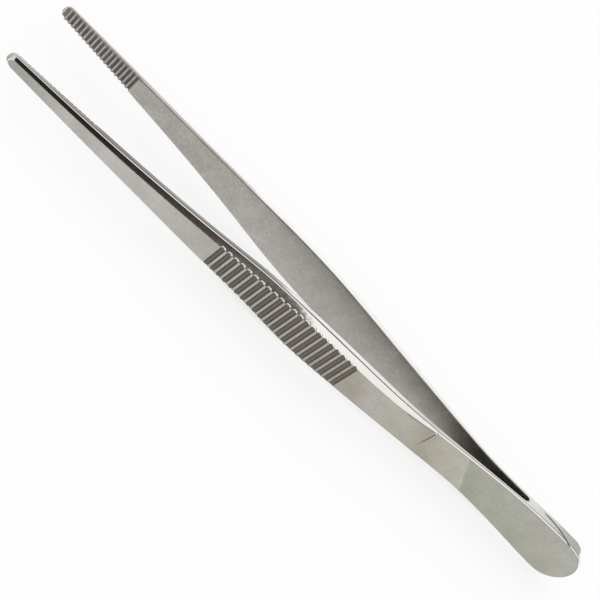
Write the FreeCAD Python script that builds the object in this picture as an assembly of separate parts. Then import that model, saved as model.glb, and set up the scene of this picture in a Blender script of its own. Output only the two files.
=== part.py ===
import FreeCAD, Part
import math
import os
from collections import namedtuple

# Thumb forceps with cross-cut jaws, lying on their side as they come to rest on a table.
# Two spring steel legs are welded face to face at the heel pads and splay towards the tips.
# While a leg is built, X runs from the heel end to the tip, Y from the joint plane out to
# the leg's outer face, and Z across the leg's width. All sizes are in millimetres.

# Lengths along the leg
heel_flat = 4.0          # straight sides of the heel, between its round end and the spring
pad_length = 18.0        # round heel end to the front of the welded pad
spring_length = 43.1     # front of the pad to the first grip groove's land
shank_length = 30.66     # smooth stretch between the grip and the jaw teeth
tip_land = 0.4           # plain metal between the last tooth and the tip

# Widths across the leg
heel_width = 11.2
waist_width = 8.5
grip_width = 10.2
jaw_width = 4.3
tip_width = 3.0

# Thickness of one leg
pad_thickness = 1.45
spring_thickness = 1.0
shoulder_thickness = 1.38
grip_thickness = 2.5
jaw_thickness = 1.85
tip_thickness = 1.5

# Gap from the joint plane to the inner face
relief = 0.55            # step from the pad down to the spring's inner face
shoulder_gap = 2.55
grip_gap = 4.4           # at the back of the grip
jaw_gap = 8.35           # at the first jaw tooth
tip_gap = 8.95

# Edges: a rounded edge from the heel to the shoulder, then a ground bevel to the tip
heel_edge = 0.5
grip_bevel = 1.25        # both ways, at the middle of the grip
wide_bevel = 1.75        # in across the face, where the bevel is widest, near the grip's front
wide_bevel_drop = 0.95   # down the side wall there
tip_bevel = 0.6
facet_crown = 0.1        # 1 makes the bevel a quarter round, 0 makes it flat

# Finger grip: round-bottomed grooves milled across the outer face
groove_count = 22
groove_pitch = 1.569
groove_width = 1.06
groove_depth = 0.4

# Jaw: teeth cut across the inner face
tooth_count = 19
tooth_pitch = 0.964
tooth_depth = 0.38
tooth_flat = 0.16        # width left flat on each tooth's crest

# Places along the leg that follow from the lengths
heel_centre = heel_width / 2
widest_half = max(heel_width, grip_width) / 2
heel_front = heel_centre + heel_flat
shoulder_x = pad_length + 0.53 * spring_length
grip_start = pad_length + spring_length
grip_end = grip_start + groove_count * groove_pitch
jaw_start = grip_end + shank_length
jaw_end = jaw_start + tooth_count * tooth_pitch
overall_length = jaw_end + tip_land
tip_centre = overall_length - tip_width / 2
over = 3.0               # how far a cutter runs past the metal

Station = namedtuple("Station", "x gap thick width inset drop crown")


def between(a, b, share):
    """The value that lies a given share of the way from a to b."""
    return a + (b - a) * share


def spring_station(along, gap, thick, taper):
    """A section with rounded edges. Its width lies a given taper from heel to waist."""
    width = between(heel_width, waist_width, taper)
    return Station(along, gap, thick, width, heel_edge, heel_edge, 1)


def spring_stations():
    """Sections from the heel's straight sides to the shoulder, thinnest half way."""
    pad_edge = between(heel_front, pad_length, 0.9)
    edge_thickness = between(pad_thickness, shoulder_thickness, 0.2)
    thin_x = between(pad_length, shoulder_x, 0.5)
    thin_gap = between(relief, shoulder_gap, 0.35)
    return [
        spring_station(heel_front, 0, pad_thickness, 0),
        spring_station(pad_edge, 0, edge_thickness, 0.28),
        spring_station(thin_x, thin_gap, spring_thickness, 0.83),
        spring_station(shoulder_x, shoulder_gap, shoulder_thickness, 1),
    ]


def bevelled(along, gap, thick, width, inset, drop):
    """A section whose outer corners are ground to a nearly flat bevel."""
    return Station(along, gap, thick, width, inset, drop, facet_crown)


def grip_back():
    """Sections where the leg swells from the shoulder into the grip's widest place."""
    swell_x = between(shoulder_x, grip_start, 0.48)
    swell_gap = between(shoulder_gap, grip_gap, 0.54)
    swell_thick = between(shoulder_thickness, grip_thickness, 0.68)
    swell_width = between(waist_width, grip_width, 0.14)
    swell_bevel = between(heel_edge, grip_bevel, 0.55)
    start_width = between(waist_width, grip_width, 0.58)
    start_bevel = between(heel_edge, grip_bevel, 0.85)
    mid_x = between(grip_start, grip_end, 0.38)
    mid_gap = between(grip_gap, jaw_gap, 0.26)
    return [
        spring_stations()[-1],
        bevelled(swell_x, swell_gap, swell_thick, swell_width, swell_bevel, swell_bevel),
        bevelled(grip_start, grip_gap, grip_thickness, start_width, start_bevel, start_bevel),
        bevelled(mid_x, mid_gap, grip_thickness, grip_width, grip_bevel, grip_bevel),
    ]


def grip_front():
    """Sections where the leg narrows from the grip along the shank to the round tip."""
    front_x = between(grip_start, grip_end, 0.7)
    front_gap = between(grip_gap, jaw_gap, 0.43)
    front_thick = between(grip_thickness, jaw_thickness, 0.6)
    end_gap = between(grip_gap, jaw_gap, 0.62)
    end_thick = between(grip_thickness, jaw_thickness, 0.84)
    end_width = between(jaw_width, grip_width, 0.63)
    end_bevel = between(wide_bevel, tip_bevel, 0.42)
    front_width = between(grip_width, end_width, 0.24)
    shank_x = between(grip_end, jaw_start, 0.47)
    shank_gap = between(grip_gap, jaw_gap, 0.835)
    shank_thick = between(grip_thickness, jaw_thickness, 0.93)
    shank_width = between(jaw_width, grip_width, 0.28)
    shank_bevel = between(wide_bevel, tip_bevel, 0.72)
    jaw_bevel = between(wide_bevel, tip_bevel, 0.88)
    return [
        bevelled(front_x, front_gap, front_thick, front_width, wide_bevel, wide_bevel_drop),
        bevelled(grip_end, end_gap, end_thick, end_width, end_bevel, wide_bevel_drop),
        bevelled(shank_x, shank_gap, shank_thick, shank_width, shank_bevel, shank_bevel),
        bevelled(jaw_start, jaw_gap, jaw_thickness, jaw_width, jaw_bevel, jaw_bevel),
        bevelled(tip_centre, tip_gap, tip_thickness, tip_width, tip_bevel, tip_bevel),
    ]


def grip_stations():
    """Sections from the shoulder through the grip and shank to the round tip."""
    return grip_back() + grip_front()


def corner(station, side):
    """The rounded or bevelled outer corner of a section, as an arc from wall to face."""
    half = station.width / 2
    top = station.gap + station.thick
    chord = math.hypot(station.inset, station.drop)
    bulge = station.crown * (math.sqrt(2) - 1) / 2 * chord
    peak_y = top - station.drop / 2 + bulge * station.inset / chord
    peak_z = half - station.inset / 2 + bulge * station.drop / chord
    wall = FreeCAD.Vector(station.x, top - station.drop, side * half)
    peak = FreeCAD.Vector(station.x, peak_y, side * peak_z)
    face = FreeCAD.Vector(station.x, top, side * (half - station.inset))
    return Part.Arc(wall, peak, face).toShape(), wall, face


def section(station):
    """The closed section of the blank at a station, from the joint plane outwards."""
    left_arc, left_wall, left_face = corner(station, -1)
    right_arc, right_wall, right_face = corner(station, 1)
    left_foot = FreeCAD.Vector(station.x, 0, -station.width / 2)
    right_foot = FreeCAD.Vector(station.x, 0, station.width / 2)
    return Part.Wire([
        Part.makeLine(left_foot, left_wall),
        left_arc,
        Part.makeLine(left_face, right_face),
        right_arc,
        Part.makeLine(right_wall, right_foot),
        Part.makeLine(right_foot, left_foot),
    ])


def round_end(station, turn):
    """Half a turn of the section's half outline, which closes the heel or the tip."""
    arc, wall, face = corner(station, 1)
    foot = FreeCAD.Vector(station.x, 0, station.width / 2)
    low = FreeCAD.Vector(station.x, 0, 0)
    high = FreeCAD.Vector(station.x, station.gap + station.thick, 0)
    outline = Part.Wire([
        Part.makeLine(low, foot),
        Part.makeLine(foot, wall),
        arc,
        Part.makeLine(face, high),
        Part.makeLine(high, low),
    ])
    return Part.Face(outline).revolve(low, FreeCAD.Vector(0, 1, 0), turn)


def blank():
    """The leg before its inner face is ground: one solid from the heel end to the tip."""
    spring = spring_stations()
    grip = grip_stations()
    heel = spring[0]._replace(x=heel_centre)
    sides = Part.Face(section(heel)).extrude(FreeCAD.Vector(heel_flat, 0, 0))
    pieces = [
        sides,
        Part.makeLoft([section(s) for s in spring], True, False),
        Part.makeLoft([section(s) for s in grip], True, False),
        round_end(grip[-1], 180),
    ]
    return round_end(heel, -180).fuse(pieces).removeSplitter()


def inner_curve():
    """The ground inner face seen from the side, from the pad's relief to the tip."""
    stations = spring_stations()[2:] + grip_stations()[1:]
    points = [FreeCAD.Vector(pad_length + relief, relief, 0)]
    points += [FreeCAD.Vector(s.x, s.gap, 0) for s in stations]
    slope = (tip_gap - jaw_gap) / (tip_centre - jaw_start)
    past_tip = tip_width / 2 + over
    points.append(FreeCAD.Vector(tip_centre + past_tip, tip_gap + slope * past_tip, 0))
    curve = Part.BSplineCurve()
    curve.interpolate(points)
    return curve


def outer_curve():
    """The outer face seen from the side, along the grip."""
    curve = Part.BSplineCurve()
    curve.interpolate([FreeCAD.Vector(s.x, s.gap + s.thick, 0) for s in grip_stations()])
    return curve


def across(wire):
    """A cutter with the given side outline, run across the whole width of the leg."""
    face = Part.Face(wire)
    face.translate(FreeCAD.Vector(0, 0, -heel_width))
    return face.extrude(FreeCAD.Vector(0, 0, 2 * heel_width))


def relief_cutter(curve):
    """Everything between the joint plane and the inner face in front of the pad."""
    step = FreeCAD.Vector(pad_length, 0, 0)
    top = FreeCAD.Vector(pad_length + relief, relief, 0)
    bend = relief * (1 - math.sqrt(0.5))
    cove = Part.Arc(step, FreeCAD.Vector(pad_length + bend, relief - bend, 0), top)
    end = curve.EndPoint
    below_end = FreeCAD.Vector(end.x, -over, 0)
    below_step = FreeCAD.Vector(pad_length, -over, 0)
    return across(Part.Wire([
        cove.toShape(),
        curve.toShape(),
        Part.makeLine(end, below_end),
        Part.makeLine(below_end, below_step),
        Part.makeLine(below_step, step),
    ]))


def point_at(curve, x):
    """The point of a side curve at x."""
    line = Part.Line(FreeCAD.Vector(x, -99, 0), FreeCAD.Vector(x, 99, 0))
    point = curve.intersectCC(line)[0]
    return FreeCAD.Vector(point.X, point.Y, point.Z)


def slope_at(curve, spot):
    """The slope of a side curve at one of its points, in degrees."""
    along = curve.tangent(curve.parameter(spot))[0]
    return math.degrees(math.atan2(along.y, along.x))


def grip_grooves():
    """One round-nosed cutter for each groove across the outer face of the grip."""
    curve = outer_curve()
    radius = (groove_width ** 2 / 4 + groove_depth ** 2) / (2 * groove_depth)
    to_axis = FreeCAD.Vector(0, radius - groove_depth, -heel_width)
    cutters = []
    for i in range(groove_count):
        centre = point_at(curve, grip_start + (i + 0.5) * groove_pitch) + to_axis
        cutters.append(Part.makeCylinder(radius, 2 * heel_width, centre))
    return cutters


def jaw_teeth(curve, shift):
    """One V-shaped cutter for each gullet between the jaw's teeth."""
    half = (tooth_pitch - tooth_flat) / 2
    vee = Part.makePolygon([
        FreeCAD.Vector(0, tooth_depth, 0),
        FreeCAD.Vector(-half, 0, 0),
        FreeCAD.Vector(-half, -over, 0),
        FreeCAD.Vector(half, -over, 0),
        FreeCAD.Vector(half, 0, 0),
        FreeCAD.Vector(0, tooth_depth, 0),
    ])
    cutters = []
    for i in range(tooth_count):
        spot = point_at(curve, jaw_start + (i + 0.5 + shift) * tooth_pitch)
        cutter = across(vee)
        cutter.rotate(FreeCAD.Vector(0, 0, 0), FreeCAD.Vector(0, 0, 1), slope_at(curve, spot))
        cutter.translate(spot)
        cutters.append(cutter)
    return cutters


def leg(tooth_shift):
    """A finished leg, on the outer side of the joint plane."""
    curve = inner_curve()
    ground = blank().cut(relief_cutter(curve))
    gripped = ground.cut(grip_grooves())
    toothed = gripped.cut(jaw_teeth(curve, tooth_shift))
    return toothed.Solids[0]


def place(shape):
    """Centre the forceps over the origin, with the lower side of the widest part on the table."""
    shape.translate(FreeCAD.Vector(-overall_length / 2, 0, widest_half))
    return shape


def main():
    os.makedirs("parts", exist_ok=True)
    # The front leg's teeth close into the rear leg's gullets, half a pitch along.
    front = leg(-0.5)
    rear = leg(0).mirror(FreeCAD.Vector(0, 0, 0), FreeCAD.Vector(0, 1, 0))
    for name, shape in (("front_leg", front), ("rear_leg", rear)):
        place(shape).exportStep("parts/" + name + ".step")


main()
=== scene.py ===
import math

import bmesh
import bpy
import numpy as np
from bpy.props import FloatProperty, FloatVectorProperty, IntProperty, PointerProperty
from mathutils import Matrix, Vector


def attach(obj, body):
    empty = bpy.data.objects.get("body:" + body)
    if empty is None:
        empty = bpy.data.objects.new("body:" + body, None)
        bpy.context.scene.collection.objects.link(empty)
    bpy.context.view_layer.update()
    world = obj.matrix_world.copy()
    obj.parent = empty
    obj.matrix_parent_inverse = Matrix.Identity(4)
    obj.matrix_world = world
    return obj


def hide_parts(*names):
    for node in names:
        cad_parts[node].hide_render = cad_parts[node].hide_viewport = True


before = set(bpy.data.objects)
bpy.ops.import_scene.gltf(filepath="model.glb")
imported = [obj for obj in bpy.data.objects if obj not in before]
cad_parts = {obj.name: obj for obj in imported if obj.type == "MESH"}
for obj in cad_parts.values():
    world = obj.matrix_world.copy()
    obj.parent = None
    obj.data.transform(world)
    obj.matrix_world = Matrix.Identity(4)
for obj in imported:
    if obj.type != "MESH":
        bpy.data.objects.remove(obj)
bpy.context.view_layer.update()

bl_info = {
    "name": "Thumb Forceps",
    "version": (1, 0, 0),
    "blender": (4, 5, 0),
    "location": "View3D > Sidebar > Forceps",
    "description": "Steel thumb forceps with grooved grips and cross-cut jaws",
    "category": "Add Mesh",
}

MM = 0.001


def linear(hex_colour):
    """A written sRGB colour, such as 'b8b4af', as the linear values that shaders take."""
    parts = [int(hex_colour[i:i + 2], 16) / 255 for i in (0, 2, 4)]
    return [c / 12.92 if c <= 0.04045 else ((c + 0.055) / 1.055) ** 2.4 for c in parts]


def length(name, mm, description):
    """A size that the user can change, written here in millimetres."""
    return FloatProperty(name=name, description=description, default=mm * MM, unit="LENGTH",
                         precision=5, min=0.0)


def tint(name, hex_colour, description):
    """A colour that the user can change."""
    return FloatVectorProperty(name=name, description=description, subtype="COLOR", size=3,
                               default=linear(hex_colour), min=0.0, max=1.0)


class ForcepsSizes(bpy.types.PropertyGroup):
    """The sizes of one leg, which both legs share."""
    heel_flat: length("Heel flat", 4.0, "Straight sides between the round heel and the spring")
    pad_length: length("Pad length", 18.0, "Heel end to the front of the welded pad")
    spring_length: length("Spring length", 43.1, "Front of the pad to the first grip groove")
    shank_length: length("Shank length", 30.66, "Smooth stretch between grip and jaw teeth")
    heel_width: length("Heel width", 11.2, "Width of the round heel")
    waist_width: length("Waist width", 8.5, "Width at the shoulder, the spring's narrowest place")
    grip_width: length("Grip width", 10.2, "Width at the middle of the grip")
    jaw_width: length("Jaw width", 4.3, "Width at the first tooth")
    tip_width: length("Tip width", 3.0, "Width of the round tip")
    pad_thickness: length("Pad thickness", 1.45, "Thickness of one leg at the heel")
    spring_thickness: length("Spring thickness", 1.0, "Thickness half way along the spring")
    shoulder_thickness: length("Shoulder thickness", 1.38, "Thickness at the shoulder")
    grip_thickness: length("Grip thickness", 2.5, "Thickness at the grip")
    jaw_thickness: length("Jaw thickness", 1.85, "Thickness at the first tooth")
    tip_thickness: length("Tip thickness", 1.5, "Thickness at the tip")
    relief: length("Relief", 0.55, "Step from the pad down to the spring's inner face")
    shoulder_gap: length("Shoulder gap", 2.55, "Joint plane to the inner face at the shoulder")
    grip_gap: length("Grip gap", 4.4, "Joint plane to the inner face at the grip's back")
    jaw_gap: length("Jaw gap", 8.35, "Joint plane to the inner face at the first tooth")
    tip_gap: length("Tip gap", 8.95, "Joint plane to the inner face at the tip")
    heel_edge: length("Heel edge", 0.5, "Radius of the polished edge round the heel and spring")
    grip_bevel: length("Grip bevel", 1.25, "Bevel at the middle of the grip, both ways")
    wide_bevel: length("Wide bevel", 1.75, "Bevel across the face, where it is widest")
    wide_drop: length("Wide bevel drop", 0.95, "Bevel down the side wall at that place")
    tip_bevel: length("Tip bevel", 0.6, "Bevel at the tip, both ways")
    groove_pitch: length("Groove pitch", 1.569, "From one grip groove to the next")
    groove_width: length("Groove width", 1.06, "Width of a grip groove at the face")
    groove_depth: length("Groove depth", 0.4, "Depth of a grip groove")
    tooth_pitch: length("Tooth pitch", 0.964, "From one jaw tooth to the next")
    tooth_depth: length("Tooth depth", 0.38, "Depth of the gullets between the teeth")
    tooth_flat: length("Tooth flat", 0.16, "Width left flat on each tooth's crest")
    tip_land: length("Tip land", 0.4, "Plain metal between the last tooth and the tip")
    inner_edge: length("Inner edge", 0.18, "Radius of the edge between inner face and side wall")
    jaw_edge: length("Jaw edge", 0.28, "Radius of the same edge beside the jaw teeth")
    groove_lip: length("Groove lip", 0.07, "How far a groove's lip is rounded over on the face")
    groove_end: length("Groove end", 0.16, "How far its lip is rounded over on the bevel")
    crease_depth: length("Crease depth", 0.09, "Depth of the fine line across the shoulder")
    groove_count: IntProperty(name="Grooves", description="Grooves across each grip",
                              default=22, min=1)
    tooth_count: IntProperty(name="Teeth", description="Teeth across each jaw",
                             default=19, min=1)


class ForcepsFinish(bpy.types.PropertyGroup):
    """The colours that a user can change."""
    ground: tint("Ground faces", "c2bfba", "Lightest colour of the satin outer faces")
    buffed: tint("Buffed edges", "f6f4f1", "Colour of the bright bevels and rounded edges")
    inner: tint("Inner faces", "bfbbb5", "Lightest colour of the inner faces")
    grooves: tint("Grooves", "a39d97", "Colour of the grip grooves at their lips")
    teeth: tint("Teeth", "c4c0bb", "Colour of the jaw teeth at their crests")
    sides: tint("Side walls", "fbfaf8", "Lightest colour of the side walls")
    table: tint("Table", "fdfdfd", "The pale table that the forceps lie on")


# How a leg's half section is stepped, from the middle of the inner face out to its edge, up
# the side wall, round the low corner, over the flat of the bevel, round the high corner and
# back to the middle of the outer face. Each step has the part that it lies on and its share
# of the way along it.
SECTION_PARTS = (
    ("inner", [i / 9 for i in range(9)]),
    ("edge", (0.0, 0.2, 0.4, 0.6, 0.8)),
    ("wall", (0.0, 0.3, 0.65, 1.0)),
    ("low", (0.12, 0.25, 0.38, 0.5, 0.62, 0.75, 0.88, 1.0)),
    ("flat", (0.15, 0.3, 0.42, 0.5, 0.58, 0.65, 0.72, 0.79, 0.86, 0.93, 1.0)),
    ("high", (0.14, 0.28, 0.42, 0.56, 0.7, 0.85, 1.0)),
    ("face", (0.03, 0.06, 0.1, 0.14, 0.2, 0.3, 0.6, 1.0)),
)
STEPS = [(part, share) for part, shares in SECTION_PARTS for share in shares]

# A corner rounded by buffing starts this share of the bevel's size away from the corner.
LOW_ROUND = 0.18
WALL_ROUND = 0.36
HIGH_ROUND = 0.1
# The flat of the bevel bulges by this share of its width, as hand grinding leaves it.
FLAT_BULGE = 0.02
# For a full round edge the corner's two tangents are this share of its radius.
TANGENT = math.tan(math.radians(22.5))

# How far the bevel is crowned: 1 is a full quarter round, as it is up to the shoulder, and 0
# is flat between two buffed corners. It falls off in the stretch past the shoulder, and then
# more slowly up to the swell.
CROWNS = (1.0, 0.35, 0.1)
CROWN_FALL = 3 * MM

# The inner edge's radius grows over the first of these stretches past the pad, and changes
# to the jaw's over the second one, short of the first tooth.
EDGE_START = 2 * MM
EDGE_CHANGE = 1.5 * MM

# The fine line across the shoulder: how far it lies past the shoulder, half its width, and
# over how much of the width it fades out towards the lower edge.
CREASE_AHEAD = 0.55 * MM
CREASE_HALF = 0.17 * MM
CREASE_FADE = 4.0 * MM

# A groove's section is a circle's at 2, and squarer above it, as a worn cutter leaves it.
GROOVE_SQUARENESS = 2.2
# Its floor starts to rise this far past the bevel's edge, and is up again over this distance.
GROOVE_STOP = 0.1 * MM
GROOVE_RISE = 0.5 * MM

# Dressing the jaw's upper edge takes this share of the teeth's depth away over this width.
TOOTH_FADE = 0.65
FADE_WIDTH = 0.5 * MM

# Rows of faces stand this far apart where nothing is cut, and this far on both sides of the
# shoulder, and so many follow a round end.
PLAIN_STEP = 0.7 * MM
SHOULDER_STEP = 0.12 * MM
ROUND_STEPS = 49

# Where the rows of faces stand round one groove and one gullet, closest together at the lip
# and the crest, in shares of half the groove's width and of the gullet's.
GROOVE_ROWS = (0.0, 0.28, 0.55, 0.78, 0.9, 0.97, 1.02, 1.08, 1.18)
GULLET_ROWS = (0.0, 0.08, 0.3, 0.6, 0.86, 0.97, 1.03, 1.12)


def smooth_line(points):
    """A smooth curve through points along the leg, as a function of the place."""
    places, values = np.array(points, float).T
    gaps = np.diff(places)
    count = len(places)
    system = np.eye(count)
    right = np.zeros(count)
    for i in range(1, count - 1):
        system[i, i - 1:i + 2] = gaps[i - 1], 2 * (gaps[i - 1] + gaps[i]), gaps[i]
        steps = np.diff(values[i - 1:i + 2]) / gaps[i - 1:i + 1]
        right[i] = 6 * (steps[1] - steps[0])
    bend = np.linalg.solve(system, right)

    def value(place):
        i = min(max(int(np.searchsorted(places, place)) - 1, 0), count - 2)
        b = (place - places[i]) / gaps[i]
        a = 1 - b
        curve = ((a ** 3 - a) * bend[i] + (b ** 3 - b) * bend[i + 1]) * gaps[i] ** 2 / 6
        return float(a * values[i] + b * values[i + 1] + curve)

    return value


def between(a, b, share):
    """The value that lies a given share of the way from a to b."""
    return a + (b - a) * share


class Leg:
    """One leg's shape: its sections along X, measured from the heel end, in metres."""

    def __init__(self, sizes, tooth_shift):
        s = self.s = sizes
        self.heel_centre = s.heel_width / 2
        self.heel_front = self.heel_centre + s.heel_flat
        self.shoulder = s.pad_length + 0.53 * s.spring_length
        self.grip_start = s.pad_length + s.spring_length
        self.grip_end = self.grip_start + s.groove_count * s.groove_pitch
        self.jaw_start = self.grip_end + s.shank_length
        self.jaw_end = self.jaw_start + s.tooth_count * s.tooth_pitch
        self.end = self.jaw_end + s.tip_land
        self.tip_centre = self.end - s.tip_width / 2
        self.first_gullet = self.jaw_start + (0.5 + tooth_shift) * s.tooth_pitch
        self.lines = self.make_lines(self.spring_rows(), self.grip_rows())

    def spring_rows(self):
        """Place, gap, thickness, width, bevel across and bevel down, heel to shoulder.

        Rows between the named sizes lie a share of the way from one to the next."""
        s = self.s
        thin_x = between(s.pad_length, self.shoulder, 0.5)
        pad_edge = between(self.heel_front, s.pad_length, 0.9)
        edge_thick = between(s.pad_thickness, s.shoulder_thickness, 0.2)
        edge_width = between(s.heel_width, s.waist_width, 0.28)
        thin_gap = between(s.relief, s.shoulder_gap, 0.35)
        thin_width = between(s.heel_width, s.waist_width, 0.83)
        e = s.heel_edge
        return [
            (self.heel_front, 0, s.pad_thickness, s.heel_width, e, e),
            (pad_edge, 0, edge_thick, edge_width, e, e),
            (thin_x, thin_gap, s.spring_thickness, thin_width, e, e),
            (self.shoulder, s.shoulder_gap, s.shoulder_thickness, s.waist_width, e, e),
        ]

    def grip_rows(self):
        """The same six values from the shoulder through grip and shank to the round tip."""
        s = self.s
        gap = lambda share: between(s.grip_gap, s.jaw_gap, share)
        thick = lambda share: between(s.grip_thickness, s.jaw_thickness, share)
        narrow = lambda share: between(s.jaw_width, s.grip_width, share)
        back = lambda share: between(s.heel_edge, s.grip_bevel, share)
        front = lambda share: between(s.wide_bevel, s.tip_bevel, share)
        end_width = narrow(0.63)
        swell_thick = between(s.shoulder_thickness, s.grip_thickness, 0.68)
        swell_gap = between(s.shoulder_gap, s.grip_gap, 0.54)
        swell_width = between(s.waist_width, s.grip_width, 0.14)
        start_width = between(s.waist_width, s.grip_width, 0.58)
        front_width = between(s.grip_width, end_width, 0.24)
        place = lambda share: between(self.grip_start, self.grip_end, share)
        return [
            (self.shoulder, s.shoulder_gap, s.shoulder_thickness, s.waist_width,
             s.heel_edge, s.heel_edge),
            (between(self.shoulder, self.grip_start, 0.48), swell_gap, swell_thick,
             swell_width, back(0.55), back(0.55)),
            (place(0), gap(0), thick(0), start_width, back(0.85), back(0.85)),
            (place(0.38), gap(0.26), thick(0), s.grip_width, back(1), back(1)),
            (place(0.7), gap(0.43), thick(0.6), front_width, s.wide_bevel, s.wide_drop),
            (place(1), gap(0.62), thick(0.84), end_width, front(0.42), s.wide_drop),
            (between(self.grip_end, self.jaw_start, 0.47), gap(0.835), thick(0.93),
             narrow(0.28), front(0.72), front(0.72)),
            (self.jaw_start, s.jaw_gap, s.jaw_thickness, s.jaw_width, front(0.88), front(0.88)),
            (self.tip_centre, s.tip_gap, s.tip_thickness, s.tip_width, s.tip_bevel, s.tip_bevel),
        ]

    def make_lines(self, spring, grip):
        """Smooth lines for top, width and bevel on each side of the shoulder's crease."""
        lines = {}
        for name, rows in (("spring", spring), ("grip", grip)):
            lines[name] = {
                "top": smooth_line([(r[0], r[1] + r[2]) for r in rows]),
                "half": smooth_line([(r[0], r[3] / 2) for r in rows]),
                "across": smooth_line([(r[0], r[4]) for r in rows]),
                "down": smooth_line([(r[0], r[5]) for r in rows]),
            }
        s = self.s
        inner = [(s.pad_length + s.relief, s.relief)]
        inner += [(r[0], r[1]) for r in spring[2:] + grip[1:]]
        past = s.tip_width
        slope = (s.tip_gap - s.jaw_gap) / (self.tip_centre - self.jaw_start)
        inner.append((self.tip_centre + past, s.tip_gap + slope * past))
        lines["inner"] = smooth_line(inner)
        swell = grip[1][0]
        crowned = (self.shoulder, self.shoulder + CROWN_FALL, swell)
        lines["crown"] = lambda x: float(np.interp(x, crowned, CROWNS))
        return lines

    def section(self, x):
        """Half width, outer face, bevel across, bevel down and bevel crown at a place."""
        x = min(max(x, self.heel_front), self.tip_centre)
        part = self.lines["spring" if x < self.shoulder else "grip"]
        values = [part[name](x) for name in ("half", "top", "across", "down")]
        return values + [self.lines["crown"](x)]

    def edge_radius(self, x):
        """Radius of the inner edge: none on the welded pad, and largest beside the teeth."""
        s = self.s
        places = (s.pad_length, s.pad_length + EDGE_START, self.jaw_start - EDGE_CHANGE,
                  self.jaw_start)
        return float(np.interp(x, places, (0.0, s.inner_edge, s.inner_edge, s.jaw_edge)))

    def crease(self, x, z):
        """How deep the fine line across the shoulder is cut at a place on the outer face."""
        off = abs(x - self.shoulder - CREASE_AHEAD)
        fade = min(max(0.7 + z / CREASE_FADE, 0.0), 1.0)
        return self.s.crease_depth * max(1 - off / CREASE_HALF, 0.0) * fade

    def inner_face(self, x):
        """Height of the inner face over the joint plane, without its teeth."""
        s = self.s
        if x <= s.pad_length:
            return 0.0
        along_cove = s.pad_length + s.relief - x
        if along_cove > 0:
            return math.sqrt(max(s.relief ** 2 - along_cove ** 2, 0.0))
        return self.lines["inner"](x)

    def gullet(self, x):
        """How deep the jaw's teeth are cut at a place."""
        s = self.s
        half = (s.tooth_pitch - s.tooth_flat) / 2
        turn = (x - self.first_gullet) / s.tooth_pitch
        nearest = min(max(round(turn), 0), s.tooth_count - 1)
        off = abs(turn - nearest) * s.tooth_pitch
        return s.tooth_depth * max(1 - off / half, 0.0)

    def groove_stop(self, x):
        """Where the grooves' floors start to rise towards the bevel on the upper side."""
        half, _, across = self.section(x)[:3]
        return half - across + GROOVE_STOP

    def groove_floor(self, x, z):
        """Height of the nearest grip groove's floor, or None where no groove is cut."""
        s = self.s
        turn = (x - self.grip_start) / s.groove_pitch - 0.5
        nearest = round(turn)
        if not 0 <= nearest < s.groove_count:
            return None
        radius = (s.groove_width ** 2 / 4 + s.groove_depth ** 2) / (2 * s.groove_depth)
        power = GROOVE_SQUARENESS
        above = (radius - s.groove_depth) / radius
        half = s.groove_width / 2 / (1 - above ** power) ** (1 / power)
        off = abs(turn - nearest) * s.groove_pitch / half
        if off >= 1:
            return None
        middle = self.grip_start + (nearest + 0.5) * s.groove_pitch
        axis = self.section(middle)[1] + radius - s.groove_depth
        rise = max(z - self.groove_stop(middle), 0.0) / GROOVE_RISE
        return axis - radius * (1 - off ** power) ** (1 / power) + s.groove_depth * rise ** 2

    def rows_along(self):
        """Where the rows of faces stand from the heel's straight sides to the round tip."""
        s = self.s
        plain = PLAIN_STEP
        cove = [s.pad_length + s.relief * (1 - math.cos(math.radians(a)))
                for a in (0, 12, 25, 40, 55, 70, 90)]
        rows = [self.heel_centre, self.heel_centre + s.heel_flat / 2]
        rows += list(np.arange(self.heel_front, s.pad_length - plain / 2, plain))
        rows += cove
        rows += list(np.arange(cove[-1] + plain, self.shoulder - plain / 2, plain))
        rows += self.both_ways(self.shoulder, SHOULDER_STEP, (0.0, 1.0))
        line = self.shoulder + CREASE_AHEAD
        rows += self.both_ways(line, CREASE_HALF, (0.0, 0.4, 1.0, 1.5))
        rows += list(np.arange(line + plain, self.grip_start - plain / 2, plain))
        for i in range(s.groove_count):
            middle = self.grip_start + (i + 0.5) * s.groove_pitch
            rows += self.both_ways(middle, s.groove_width / 2, GROOVE_ROWS)
        rows += list(np.arange(self.grip_end + plain / 2, self.jaw_start - plain, plain))
        half = (s.tooth_pitch - s.tooth_flat) / 2
        for i in range(s.tooth_count):
            middle = self.first_gullet + i * s.tooth_pitch
            rows += self.both_ways(middle, half, GULLET_ROWS)
        rows = [x for x in rows if x < self.tip_centre - 0.02 * MM]
        return rows + [self.tip_centre]

    def both_ways(self, middle, half, shares):
        """Places on both sides of a middle, in order."""
        left = [middle - half * share for share in reversed(shares[1:])]
        return left + [middle + half * share for share in shares]

    def outline(self):
        """Places round the leg's outline: centre along X, and which way the profile points."""
        along = self.rows_along()
        angles = [math.radians(a) for a in np.linspace(-90, 90, ROUND_STEPS)]
        tip = [(self.tip_centre, math.cos(a), math.sin(a)) for a in angles]
        heel = [(self.heel_centre, -math.cos(a), -math.sin(a)) for a in angles]
        right = [(x, 0.0, -1.0) for x in along[1:-1]]
        left = [(x, 0.0, 1.0) for x in reversed(along[1:-1])]
        return right + tip + left + heel

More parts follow.
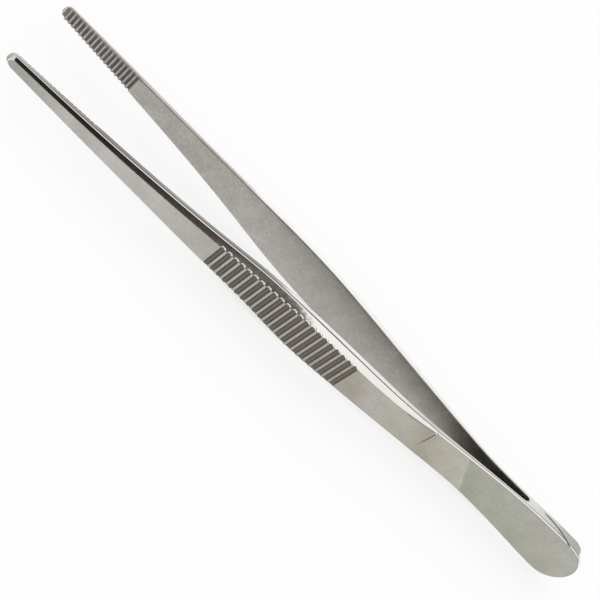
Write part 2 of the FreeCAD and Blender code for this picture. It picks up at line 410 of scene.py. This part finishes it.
    def profile(self, centre, out_x, out_z):
        """The half section that starts at a centre and points outwards.

        Gives (x, height, z, how deep a groove or gullet is cut there) for each step."""
        s = self.s
        place = (centre, out_x, out_z)
        half, top, across, down, crown = self.section(centre)
        pull = 1 - TANGENT * crown
        low = Vector((half, top - down * pull))
        high = Vector((half - across * pull, top))
        slope = high - low
        low_turn = between(LOW_ROUND * down / slope.length, 0.5, crown)
        wall_turn = between(WALL_ROUND * down / slope.length, 0.5, crown)
        high_turn = between(HIGH_ROUND * across / slope.length, 0.5, crown)
        bounds = (low - Vector((0, wall_turn * slope.length)), low, low + low_turn * slope,
                  high - high_turn * slope, high, high - Vector((high_turn * slope.length, 0)))
        edge = self.edge_radius(centre)
        points = []
        for part, share in STEPS:
            if part in ("inner", "edge", "wall"):
                reach, height, cut = self.lower_point(part, share, place, bounds[0], edge)
            else:
                reach, height = self.upper_point(part, share, bounds)
                drop = min((top - height) / s.groove_depth, 1.0)
                lip = between(s.groove_lip, s.groove_end, drop)
                height, cut = self.grooved(centre + reach * out_x, height, reach * out_z, lip)
            points.append((centre + reach * out_x, height, reach * out_z, cut))
        return points

    def lower_point(self, part, share, place, wall_top, edge):
        """Reach, height and cut of a point on the inner face, its edge or the side wall."""
        centre, out_x, out_z = place
        half = wall_top.x
        turn = math.radians(90) * share
        reach = {"inner": (half - edge) * share, "edge": half - edge * (1 - math.sin(turn)),
                 "wall": half}[part]
        x = centre + reach * out_x
        fade = min(max(1 - (half - reach * out_z) / FADE_WIDTH, 0.0), 1.0)
        cut = self.gullet(x) * (1 - TOOTH_FADE * fade)
        ground = self.inner_face(x) + cut
        if part == "edge":
            return reach, ground + edge * (1 - math.cos(turn)), cut
        if part == "wall":
            return reach, between(ground + edge, wall_top.y, share), cut * (1 - share)
        return reach, ground, cut

    def upper_point(self, part, share, bounds):
        """Reach and height of a point on the bevel, one of its corners or the outer face."""
        wall_top, low, flat_start, flat_end, high, face_edge = bounds
        if part == "flat":
            slope = flat_end - flat_start
            bulge = FLAT_BULGE * 4 * share * (1 - share)
            return flat_start + share * slope + bulge * Vector((slope.y, -slope.x))
        if part == "face":
            return face_edge.x * (1 - share), face_edge.y
        if part == "low":
            start, corner, end = wall_top, low, flat_start
        else:
            start, corner, end = flat_end, high, face_edge
        return start.lerp(corner, share).lerp(corner.lerp(end, share), share)

    def grooved(self, x, height, z, lip):
        """A height on the bevel or the outer face, lowered where a groove is cut, and the cut."""
        mark = self.crease(x, z)
        height -= mark
        floor = self.groove_floor(x, z)
        if floor is None or floor - height >= lip:
            return height, mark
        share = min(max(0.5 + 0.5 * (height - floor) / lip, 0.0), 1.0)
        lowered = between(height, floor, share) - lip * share * (1 - share)
        return lowered, height - lowered


FINISHES = ("satin", "polished", "inner", "groove", "tooth", "side")
# The face's upper edge has its own marks down to this height over its middle line.
BRIGHT_EDGE = -1.6 * MM
# On the heel's end the weld's seam runs out along that edge and darkens it.
SEAM_RIM = 3.6 * MM
# Past the shoulder a dark line between the face and the bevel is painted with the grooves' darker
# finish: a painted dark reflection.
PAINTED_DARK_REFLECTION = (1.4 * MM, 7.5 * MM)
# The tip's outermost rim is as dull as the side walls and takes their painted shade.
TIP_RIM = 0.9 * MM
# How far down a groove's lip the buffing reaches, on the bevel and on the outer face.
BRIGHT_LIP = (0.13 * MM, 0.015 * MM)
# At a groove's upper end it reaches further, down the rising floor, which is buffed from
# this far below the place where it starts to rise.
BRIGHT_END = 0.34 * MM
BRIGHT_FROM = 0.12 * MM
# Two faces that meet at more than this angle show a sharp edge.
SHARP = math.radians(60)


def zone(part, share, x, z, cut, leg):
    """Which finish a face has, by its part of the section, its place and how deep it's cut."""
    if part in ("inner", "edge"):
        if x < leg.s.pad_length + leg.s.relief:
            return "side"
        return "tooth" if leg.jaw_start < x < leg.jaw_end + leg.s.tip_land / 2 else "inner"
    if part == "wall" or part in ("low", "flat") and x > leg.end - TIP_RIM:
        return "side"
    if part == "high" and z > BRIGHT_EDGE:
        on_bevel = x - leg.shoulder
        # The seam's run-out, and past the shoulder a painted dark reflection, take the darker
        # groove finish.
        if x < SEAM_RIM and share < 0.5 or PAINTED_DARK_REFLECTION[0] < on_bevel < PAINTED_DARK_REFLECTION[1]:
            return "groove"
        if x > leg.tip_centre:
            return "polished"
    if BRIGHT_LIP[True] < cut < BRIGHT_END and z > leg.groove_stop(x) - BRIGHT_FROM:
        return "polished"
    on_face = part in ("high", "face")
    if cut > BRIGHT_LIP[on_face]:
        return "groove"
    return "satin" if on_face else "polished"


def build_leg(name, tooth_shift, side, sizes):
    """One leg as a mesh object, in its place in the frame."""
    leg = Leg(sizes, tooth_shift)
    outline = leg.outline()
    profiles = [leg.profile(*place) for place in outline + outline[:1]]
    bm = bmesh.new()
    rounds = len(profiles) - 1
    across = len(STEPS) - 1
    bmesh.ops.create_grid(bm, x_segments=rounds, y_segments=across, size=0.5)
    cut_layer = bm.verts.layers.float.new("cut")
    step_layer = bm.verts.layers.int.new("step")
    for vert in bm.verts:
        i = round((vert.co.x + 0.5) * rounds)
        k = round((vert.co.y + 0.5) * across)
        x, height, z, cut = profiles[i][k]
        vert.co = (x, height, z)
        vert[cut_layer] = cut / MM
        vert[step_layer] = k
    for face in bm.faces:
        part, share = STEPS[min(v[step_layer] for v in face.verts)]
        x = sum(v.co.x for v in face.verts) / 4
        z = sum(v.co.z for v in face.verts) / 4
        cut = sum(v[cut_layer] for v in face.verts) / 4 * MM
        face.material_index = FINISHES.index(zone(part, share, x, z, cut, leg))
        face.smooth = True
    bmesh.ops.remove_doubles(bm, verts=bm.verts, dist=0.001 * MM)
    bmesh.ops.scale(bm, vec=(1, side, 1), verts=bm.verts)
    middle = Vector((-leg.end / 2, 0, max(sizes.heel_width, sizes.grip_width) / 2))
    bmesh.ops.translate(bm, vec=middle, verts=bm.verts)
    bmesh.ops.recalc_face_normals(bm, faces=bm.faces)
    for edge in bm.edges:
        edge.smooth = edge.calc_face_angle(0.0) < SHARP
    mesh = bpy.data.meshes.new(name)
    bm.to_mesh(mesh)
    bm.free()
    piece = bpy.data.objects.new(name, mesh)
    bpy.context.scene.collection.objects.link(piece)
    return piece


def add(tree, kind, settings=None, links=None):
    """Adds a node, with its settings and what feeds its inputs."""
    node = tree.nodes.new(kind)
    for key, value in (settings or {}).items():
        if isinstance(key, int) or key in node.inputs:
            node.inputs[key].default_value = value
        else:
            setattr(node, key, value)
    for key, source in (links or {}).items():
        tree.links.new(source, node.inputs[key])
    return node


def fill_ramp(ramp, stops):
    """Gives a colour ramp its stops, each a place from 0 to 1, a hex colour and an opacity."""
    marks = ramp.color_ramp.elements
    while len(marks) < len(stops):
        marks.new(0.5)
    for mark, (at, hex_colour, opacity) in zip(marks, stops):
        mark.position = at
        mark.color = (*linear(hex_colour), opacity)


# Half of the forceps' length and of their greatest width.
HALF_LENGTH = 72.5 * MM
HALF_WIDTH = 5.6 * MM
# The grinder's passes end on a slant across the leg, by this much along for each across.
SLANT = 0.61
# The soft mottling and the buffing waves are about this wide.
MOTTLE_MM = 3.5
WAVE_MM = 1.8
# The mottling counts this much beside the grit, and their sum runs mostly between these.
MOTTLE_SHARE = 0.7
MIXED = {"From Min": 0.6, "From Max": 1.1}
# The roughness goes up and down with them by this share of itself.
ROUGH_SWING = 0.15
# Colours by depth run over this many millimetres.
CUT_SPAN = 0.4

# The weld's seam starts at SEAM_END and bends off the joint plane on its way to the heel's
# rim. It is SEAM_OFF to one side at first, dark within the first SEAM_LINE of its middle and
# faded at the second, and it fades in over SEAM_FADE.
SEAM_END = -58.2 * MM
SEAM_OFF = 0.45 * MM
SEAM_BEND = 36 * MM
SEAM_LINE = (0.08 * MM, 0.3 * MM)
SEAM_FADE = 1.5 * MM
SEAM_DARK = 0.2


def steel(name, colour, by_place, stops, roughness, grain_mm, stretch, bump_mm, wave_mm=0.0,
          tone=0.06, seam=False):
    """A stainless finish with its grain drawn on the piece's own coordinates.

    stops are shares of the colour, by place along the leg in mm from the heel end, or by how
    deep the metal is cut away in mm. grain_mm is the spacing of the grit marks, stretch how much
    longer they are than wide, bump_mm their height, and wave_mm the height of the soft waves
    that buffing leaves. tone is how far the colour goes up and down with the grit, and seam
    says whether the weld's seam crosses the finish, which is then coloured by place."""
    material = bpy.data.materials.new(name)
    material.use_nodes = True
    tree = material.node_tree
    tree.nodes.clear()
    where = add(tree, "ShaderNodeTexCoord")
    per_metre = 1 / (grain_mm * MM)
    scaled = add(tree, "ShaderNodeMapping", {"Scale": (per_metre / stretch, per_metre, per_metre)},
                 {"Vector": where.outputs["Object"]})
    grain = add(tree, "ShaderNodeTexNoise", {"Scale": 1.0, "Detail": 3.0, "Roughness": 0.6},
                {"Vector": scaled.outputs["Vector"]})
    broad = add(tree, "ShaderNodeTexNoise",
                {"Scale": 1 / (MOTTLE_MM * MM), "Detail": 3.0, "Roughness": 0.55},
                {"Vector": where.outputs["Object"]})
    mottled = add(tree, "ShaderNodeMath", {"operation": "MULTIPLY_ADD", 1: MOTTLE_SHARE},
                  {0: broad.outputs["Fac"], 2: grain.outputs["Fac"]})
    rough = add(tree, "ShaderNodeMapRange",
                {**MIXED, "To Min": roughness * (1 - ROUGH_SWING),
                 "To Max": roughness * (1 + ROUGH_SWING)}, {"Value": mottled.outputs[0]})
    shade = add(tree, "ShaderNodeMapRange", {**MIXED, "To Min": 1 - tone, "To Max": 1 + tone},
                {"Value": mottled.outputs[0]})
    if by_place:
        place = add(tree, "ShaderNodeSeparateXYZ", {}, {0: where.outputs["Object"]})
        slanted = add(tree, "ShaderNodeMath", {"operation": "MULTIPLY_ADD", 1: -SLANT},
                      {0: place.outputs["Z"], 2: place.outputs["X"]})
        source, span = slanted.outputs[0], 2 * HALF_LENGTH / MM
        start = -HALF_LENGTH - SLANT * HALF_WIDTH
        reach = {"From Min": start, "From Max": start + 2 * HALF_LENGTH}
    else:
        source = add(tree, "ShaderNodeAttribute", {"attribute_name": "cut"}).outputs["Fac"]
        span, reach = CUT_SPAN, {"From Min": 0.0, "From Max": CUT_SPAN}
    share = add(tree, "ShaderNodeMapRange", reach, {"Value": source})
    ramp = add(tree, "ShaderNodeValToRGB", {}, {"Fac": share.outputs["Result"]})
    fill_ramp(ramp, [(at / span, hex_colour, 1.0) for at, hex_colour in stops])
    tone_now = shade.outputs["Result"]
    if seam:
        tone_now = seam_tone(tree, place, tone_now)
    base = add(tree, "ShaderNodeVectorMath", {"operation": "MULTIPLY", 1: colour},
               {0: ramp.outputs["Color"]})
    base = add(tree, "ShaderNodeVectorMath", {"operation": "SCALE"},
               {0: base.outputs["Vector"], "Scale": tone_now})
    marks = add(tree, "ShaderNodeBump", {"Strength": 1.0, "Distance": bump_mm * MM},
                {"Height": grain.outputs["Fac"]})
    waves = add(tree, "ShaderNodeTexNoise", {"Scale": 1 / (WAVE_MM * MM), "Detail": 1.0},
                {"Vector": where.outputs["Object"]})
    relief = add(tree, "ShaderNodeBump", {"Strength": 1.0, "Distance": wave_mm * MM},
                 {"Height": waves.outputs["Fac"], "Normal": marks.outputs["Normal"]})
    shader = add(tree, "ShaderNodeBsdfPrincipled", {"Metallic": 1.0},
                 {"Base Color": base.outputs["Vector"], "Roughness": rough.outputs["Result"],
                  "Normal": relief.outputs["Normal"]})
    add(tree, "ShaderNodeOutputMaterial", {}, {"Surface": shader.outputs["BSDF"]})
    return material


def seam_tone(tree, place, tone):
    """Darkens the tone along the weld's seam, which wanders across the pads' side walls."""
    past = add(tree, "ShaderNodeMath", {"operation": "SUBTRACT", 0: SEAM_END},
               {1: place.outputs["X"]})
    bend = add(tree, "ShaderNodeMath", {"operation": "MULTIPLY", 1: 1 / SEAM_BEND},
               {0: past.outputs[0]})
    middle = add(tree, "ShaderNodeMath", {"operation": "MULTIPLY_ADD", 2: -SEAM_OFF},
                 {0: past.outputs[0], 1: bend.outputs[0]})
    off = add(tree, "ShaderNodeMath", {"operation": "SUBTRACT"},
              {0: place.outputs["Y"], 1: middle.outputs[0]})
    off = add(tree, "ShaderNodeMath", {"operation": "ABSOLUTE"}, {0: off.outputs[0]})
    dark = add(tree, "ShaderNodeMapRange",
               {"interpolation_type": "SMOOTHSTEP", "From Min": SEAM_LINE[0],
                "From Max": SEAM_LINE[1], "To Min": SEAM_DARK}, {"Value": off.outputs[0]})
    near = add(tree, "ShaderNodeMapRange",
               {"From Min": SEAM_END - SEAM_FADE, "From Max": SEAM_END},
               {"Value": place.outputs["X"]})
    fade = add(tree, "ShaderNodeMath", {"operation": "MAXIMUM"},
               {0: dark.outputs["Result"], 1: near.outputs["Result"]})
    return add(tree, "ShaderNodeMath", {"operation": "MULTIPLY"},
               {0: tone, 1: fade.outputs[0]}).outputs[0]


# Colours along the leg, in mm from the heel end. The spring is ground in its own pass, which
# leaves it greener up to a slanting line, and the shank is the lightest.
SATIN_ALONG = ((0, "eaeee8"), (6, "e8ebe4"), (20, "e6eae1"), (26, "e3e7dd"), (30.0, "dfe3d8"),
               (30.6, "fafbf6"), (32.5, "f9f7f2"), (38, "edebe0"), (41, "e1ded4"),
               (44, "efeee3"), (55, "f5f3f2"), (59, "dfddd3"), (63, "e0ded5"),
               (98, "f3f3f3"), (108, "fbfafb"), (122, "fcfefe"), (126, "edeeec"),
               (130, "f7f8f7"), (136, "e8ede7"), (144, "d9dedb"))
# The inner faces darken from 24 to 39 mm, where the legs close in towards the pad: painted shade
# between the legs.
INNER_ALONG = ((0, "e1e0dd"), (24, "e1e0dd"), (27, "d6d6d3"), (31, "cecdcc"), (36, "dadad8"),
               (39, "fcfcfb"), (44, "f7f8f8"), (80, "f7f8f9"), (92, "fafbfc"), (105, "f1f2f1"),
               (120, "ebecec"), (145, "ebecec"))
BUFFED_ALONG = ((0, "f2f2f1"), (30, "ffffff"), (145, "ffffff"))
# Colours by how deep the metal is cut away, in mm: palest at a groove's lip and a tooth's crest, a
# painted highlight, and darker down the groove floors and the gullets, painted shade in the
# recesses.
GROOVE_SHADE_BY_CUT = ((0, "ffffff"), (0.03, "dbd8d6"), (0.08, "c1bdbb"), (0.25, "b1adaa"),
              (0.4, "c1bdbb"))
TOOTH_SHADE_BY_CUT = ((0, "ffffff"), (0.02, "dbdada"), (0.05, "b7b5b3"), (0.15, "c4c2c0"),
             (0.3, "ccc9c8"), (0.38, "a3a09d"))
# The side walls, as two copies of one finish: the near leg's darkened from the grip on and the far
# leg's only a little, which is painted shade.
NEAR_SIDE_SHADE_ALONG = ((0, "faf9f8"), (18, "faf9f8"), (24, "e1dfdd"), (42, "e1dfdd"),
                   (50, "faf9f8"), (77, "f7f6f5"), (80, "b7b6b3"), (84, "959491"),
                   (96, "9d9a97"), (104, "a9a6a5"), (116, "94918f"), (122, "959291"),
                   (127, "9b9897"), (133, "aaa8a7"), (137, "b9b7b6"), (140, "cac8c7"),
                   (143.3, "d4d3d2"), (144.2, "b4b3b1"), (145, "908f8d"))
FAR_SIDE_SHADE_ALONG = ((0, "faf9f8"), (14, "faf9f8"), (20, "ffffff"), (92, "ffffff"),
                  (98, "c8c6c2"), (122, "c8c6c2"), (128, "bfbdb9"), (145, "bfbdb9"))


def steel_finishes(finish):
    """The finishes of the steel that both legs share, in the order of FINISHES."""
    return [
        # Outer faces: ground with a fine grit and left satin, so they give a soft even grey.
        # The grit is drawn about twice as coarse as it is, so that it shows.
        steel("satin_ground_steel", finish.ground, True, SATIN_ALONG, 0.36, 0.35, 1.6, 0.004,
              tone=0.13),
        # Bevels and rounded edges: buffed bright, so they mirror dark and light fields.
        steel("buffed_steel", finish.buffed, True, BUFFED_ALONG, 0.08, 0.5, 3.0, 0.0004,
              wave_mm=0.02, tone=0.02, seam=True),
        # Inner faces: ground along the leg, duller than the outer ones, with painted shade between
        # the legs near the pad.
        steel("surface_ground_steel", finish.inner, True, INNER_ALONG, 0.42, 0.35, 2.0, 0.004,
              tone=0.2),
        # Groove floors: as the cutter left them, dull, with a painted highlight on the lips and
        # painted shade down the floors.
        steel("milled_groove_steel_painted_shade", finish.grooves, False, GROOVE_SHADE_BY_CUT, 0.5, 0.3, 1.0, 0.006,
              tone=0.12),
        # Jaw teeth: milled, with a painted highlight on the dressed crests and painted shade in
        # the gullets.
        steel("milled_tooth_steel_painted_shade", finish.teeth, False, TOOTH_SHADE_BY_CUT, 0.5, 0.3, 1.0, 0.004,
              tone=0.25),
    ]


class OBJECT_OT_forceps_legs(bpy.types.Operator):
    """Makes both legs of the forceps, each in place of its CAD node"""
    bl_idname = "object.forceps_legs"
    bl_label = "Make Legs"

    def execute(self, context):
        scene = context.scene
        finish = scene.forceps_finish
        finishes = steel_finishes(finish)
        legs = (("front_leg", 1, -0.5, NEAR_SIDE_SHADE_ALONG), ("rear_leg", -1, 0.0, FAR_SIDE_SHADE_ALONG))
        for node, side, shift, side_shades in legs:
            piece = build_leg(node + "_steel", shift, side, scene.forceps_sizes)
            # Side walls: linished along the leg after blanking, then lightly buffed. Each leg has
            # its own copy, with its own painted shade along it.
            walls = steel(node + "_linished_side_steel_painted_shade", finish.sides, True, side_shades, 0.16, 0.5,
                          3.0, 0.001, wave_mm=0.01, seam=True)
            for material in finishes + [walls]:
                piece.data.materials.append(material)
            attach(piece, "root")
            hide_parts(node)
        return {"FINISHED"}


# How much of the seen table is plain white. The rest keeps the shadow.
FLOOR_WHITE = 0.72


def white_floor(colour):
    """A pale table top. The camera and the steel see it near white, with its shadow faint."""
    material = bpy.data.materials.new("pale_table_top")
    material.use_nodes = True
    tree = material.node_tree
    tree.nodes.clear()
    path = add(tree, "ShaderNodeLightPath")
    seen = add(tree, "ShaderNodeMath", {"operation": "MAXIMUM"},
               {0: path.outputs["Is Camera Ray"], 1: path.outputs["Is Glossy Ray"]})
    seen = add(tree, "ShaderNodeMath", {"operation": "MAXIMUM"},
               {0: seen.outputs[0], 1: path.outputs["Is Transmission Ray"]})
    share = add(tree, "ShaderNodeMath", {"operation": "MULTIPLY", 1: FLOOR_WHITE},
                {0: seen.outputs[0]})
    matt = add(tree, "ShaderNodeBsdfDiffuse", {"Color": (*colour, 1.0)})
    white = add(tree, "ShaderNodeEmission", {"Color": (1, 1, 1, 1), "Strength": 1.0})
    both = add(tree, "ShaderNodeMixShader", {},
               {0: share.outputs[0], 1: matt.outputs[0], 2: white.outputs[0]})
    add(tree, "ShaderNodeOutputMaterial", {}, {"Surface": both.outputs[0]})
    return material


def studio_world():
    """White soft light from all round, as in a light tent."""
    world = bpy.data.worlds.new("light_tent")
    world.use_nodes = True
    tree = world.node_tree
    tree.nodes.clear()
    sky = add(tree, "ShaderNodeBackground", {"Color": (1, 1, 1, 1), "Strength": 1.0})
    add(tree, "ShaderNodeOutputWorld", {}, {"Surface": sky.outputs[0]})
    return world


# The reflection card is a dome that only the steel sees. Its colours run along X, from the
# heel's side (-1) to the tips' (1), on the side that the camera stands on and behind.
CARD_IN_FRONT = ((-0.5, "f3f3f0"), (-0.34, "fdfcfb"), (-0.28, "fdfcfb"), (-0.25, "fbfaf7"),
                 (-0.23, "c9c6c2"), (-0.21, "7a7672"), (-0.15, "5d5753"), (-0.10, "4d4642"),
                 (-0.03, "443c38"), (0.03, "2e2724"), (0.26, "2a2320"), (0.36, "d8d5d2"),
                 (0.5, "a8a5a1"), (0.62, "f4f3f1"))
CARD_BEHIND = ((-0.5, "b4b5b2"), (-0.41, "c4c5c2"), (-0.34, "fbfbfa"), (-0.04, "ffffff"),
               (0.6, "ffffff"))
# Bands that run the card's whole length, by the angle round the X axis in degrees: 0 is
# overhead, 90 the front horizon and -90 the back. A bright strip hangs overhead, with a dark
# gap behind it. The last value is the band's opacity.
CARD_BANDS = ((-42, "2a2624", 0.0), (-39, "2a2624", 0.85), (-17, "2a2624", 0.85),
              (-13, "ffffff", 1.0), (18, "ffffff", 1.0), (22, "ffffff", 0.0))
CARD_RADIUS = 1.2
# The dome is cut off this share of its radius over the table.
CARD_FOOT = 0.01


def shaded_card():
    """The reflection card's glow: shaded along its length, with bands across."""
    material = bpy.data.materials.new("shaded_card")
    material.use_nodes = True
    tree = material.node_tree
    tree.nodes.clear()
    where = add(tree, "ShaderNodeTexCoord")
    place = add(tree, "ShaderNodeSeparateXYZ", {}, {0: where.outputs["Object"]})
    along = add(tree, "ShaderNodeMath",
                {"operation": "MULTIPLY_ADD", 1: 0.5 / CARD_RADIUS, 2: 0.5},
                {0: place.outputs["X"]})
    sides = []
    for stops in (CARD_BEHIND, CARD_IN_FRONT):
        ramp = add(tree, "ShaderNodeValToRGB", {}, {"Fac": along.outputs[0]})
        fill_ramp(ramp, [(at * 0.5 + 0.5, hex_colour, 1.0) for at, hex_colour in stops])
        sides.append(ramp)
    angle = add(tree, "ShaderNodeMath", {"operation": "ARCTAN2"},
                {0: place.outputs["Y"], 1: place.outputs["Z"]})
    turn = add(tree, "ShaderNodeMath", {"operation": "MULTIPLY_ADD", 1: 1 / math.pi, 2: 0.5},
               {0: angle.outputs[0]})
    bands = add(tree, "ShaderNodeValToRGB", {}, {"Fac": turn.outputs[0]})
    fill_ramp(bands, [(at / 180 + 0.5, hex_colour, opacity)
                      for at, hex_colour, opacity in CARD_BANDS])
    front = add(tree, "ShaderNodeMath", {"operation": "GREATER_THAN", 1: 0.5},
                {0: turn.outputs[0]})
    both = add(tree, "ShaderNodeMix", {"data_type": "RGBA"},
               {0: front.outputs[0], 6: sides[0].outputs["Color"], 7: sides[1].outputs["Color"]})
    banded = add(tree, "ShaderNodeMix", {"data_type": "RGBA"},
                 {0: bands.outputs["Alpha"], 6: both.outputs[2], 7: bands.outputs["Color"]})
    glow = add(tree, "ShaderNodeEmission", {}, {"Color": banded.outputs[2]})
    add(tree, "ShaderNodeOutputMaterial", {}, {"Surface": glow.outputs[0]})
    return material


# The photograph's camera: where it stands, how it is turned in degrees, and its lens in mm.
CAMERA_PLACE = Vector((52.981, 191.354, 180.819)) * MM
CAMERA_TURN = (32.8572, -37.6749, -150.8487)
CAMERA_LENS = 84.744
# Half the width of the table top, in metres.
TABLE_HALF = 4.0


class OBJECT_OT_forceps_stage(bpy.types.Operator):
    """Makes the table, the light and the camera"""
    bl_idname = "object.forceps_stage"
    bl_label = "Make Stage"

    def execute(self, context):
        scene = context.scene
        bm = bmesh.new()
        bmesh.ops.create_grid(bm, x_segments=1, y_segments=1, size=TABLE_HALF)
        mesh = bpy.data.meshes.new("table_top")
        bm.to_mesh(mesh)
        bm.free()
        mesh.materials.append(white_floor(scene.forceps_finish.table))
        floor = bpy.data.objects.new("table_top", mesh)
        scene.collection.objects.link(floor)
        bm = bmesh.new()
        bmesh.ops.create_uvsphere(bm, u_segments=48, v_segments=32, radius=CARD_RADIUS)
        everything = bm.verts[:] + bm.edges[:] + bm.faces[:]
        bmesh.ops.bisect_plane(bm, geom=everything, plane_co=(0, 0, CARD_FOOT * CARD_RADIUS),
                               plane_no=(0, 0, -1), clear_outer=True)
        mesh = bpy.data.meshes.new("reflection_card")
        bm.to_mesh(mesh)
        bm.free()
        mesh.materials.append(shaded_card())
        card = bpy.data.objects.new("reflection_card", mesh)
        scene.collection.objects.link(card)
        card.visible_camera = False
        card.visible_diffuse = False
        card.visible_shadow = False
        scene.world = studio_world()
        camera_data = bpy.data.cameras.new("camera")
        camera_data.lens = CAMERA_LENS
        camera_data.sensor_width = 36.0
        camera_data.clip_start = 0.01
        camera = bpy.data.objects.new("camera", camera_data)
        camera.location = CAMERA_PLACE
        camera.rotation_euler = [math.radians(a) for a in CAMERA_TURN]
        scene.collection.objects.link(camera)
        scene.camera = camera
        scene.view_settings.view_transform = "Standard"
        return {"FINISHED"}


class VIEW3D_PT_forceps(bpy.types.Panel):
    """Lists what can be made, with the sizes and colours that it is made from"""
    bl_label = "Thumb Forceps"
    bl_space_type = "VIEW_3D"
    bl_region_type = "UI"
    bl_category = "Forceps"

    def draw(self, context):
        layout = self.layout
        for group in (context.scene.forceps_sizes, context.scene.forceps_finish):
            box = layout.box()
            for name in group.__annotations__:
                box.prop(group, name)
        layout.operator(OBJECT_OT_forceps_legs.bl_idname)
        layout.operator(OBJECT_OT_forceps_stage.bl_idname)


CLASSES = (ForcepsSizes, ForcepsFinish, OBJECT_OT_forceps_legs, OBJECT_OT_forceps_stage,
           VIEW3D_PT_forceps)


def register():
    for cls in CLASSES:
        bpy.utils.register_class(cls)
    bpy.types.Scene.forceps_sizes = PointerProperty(type=ForcepsSizes)
    bpy.types.Scene.forceps_finish = PointerProperty(type=ForcepsFinish)


def unregister():
    del bpy.types.Scene.forceps_finish
    del bpy.types.Scene.forceps_sizes
    for cls in reversed(CLASSES):
        bpy.utils.unregister_class(cls)


def main():
    register()
    bpy.ops.object.forceps_legs()
    bpy.ops.object.forceps_stage()


if __name__ == "__main__":
    main()
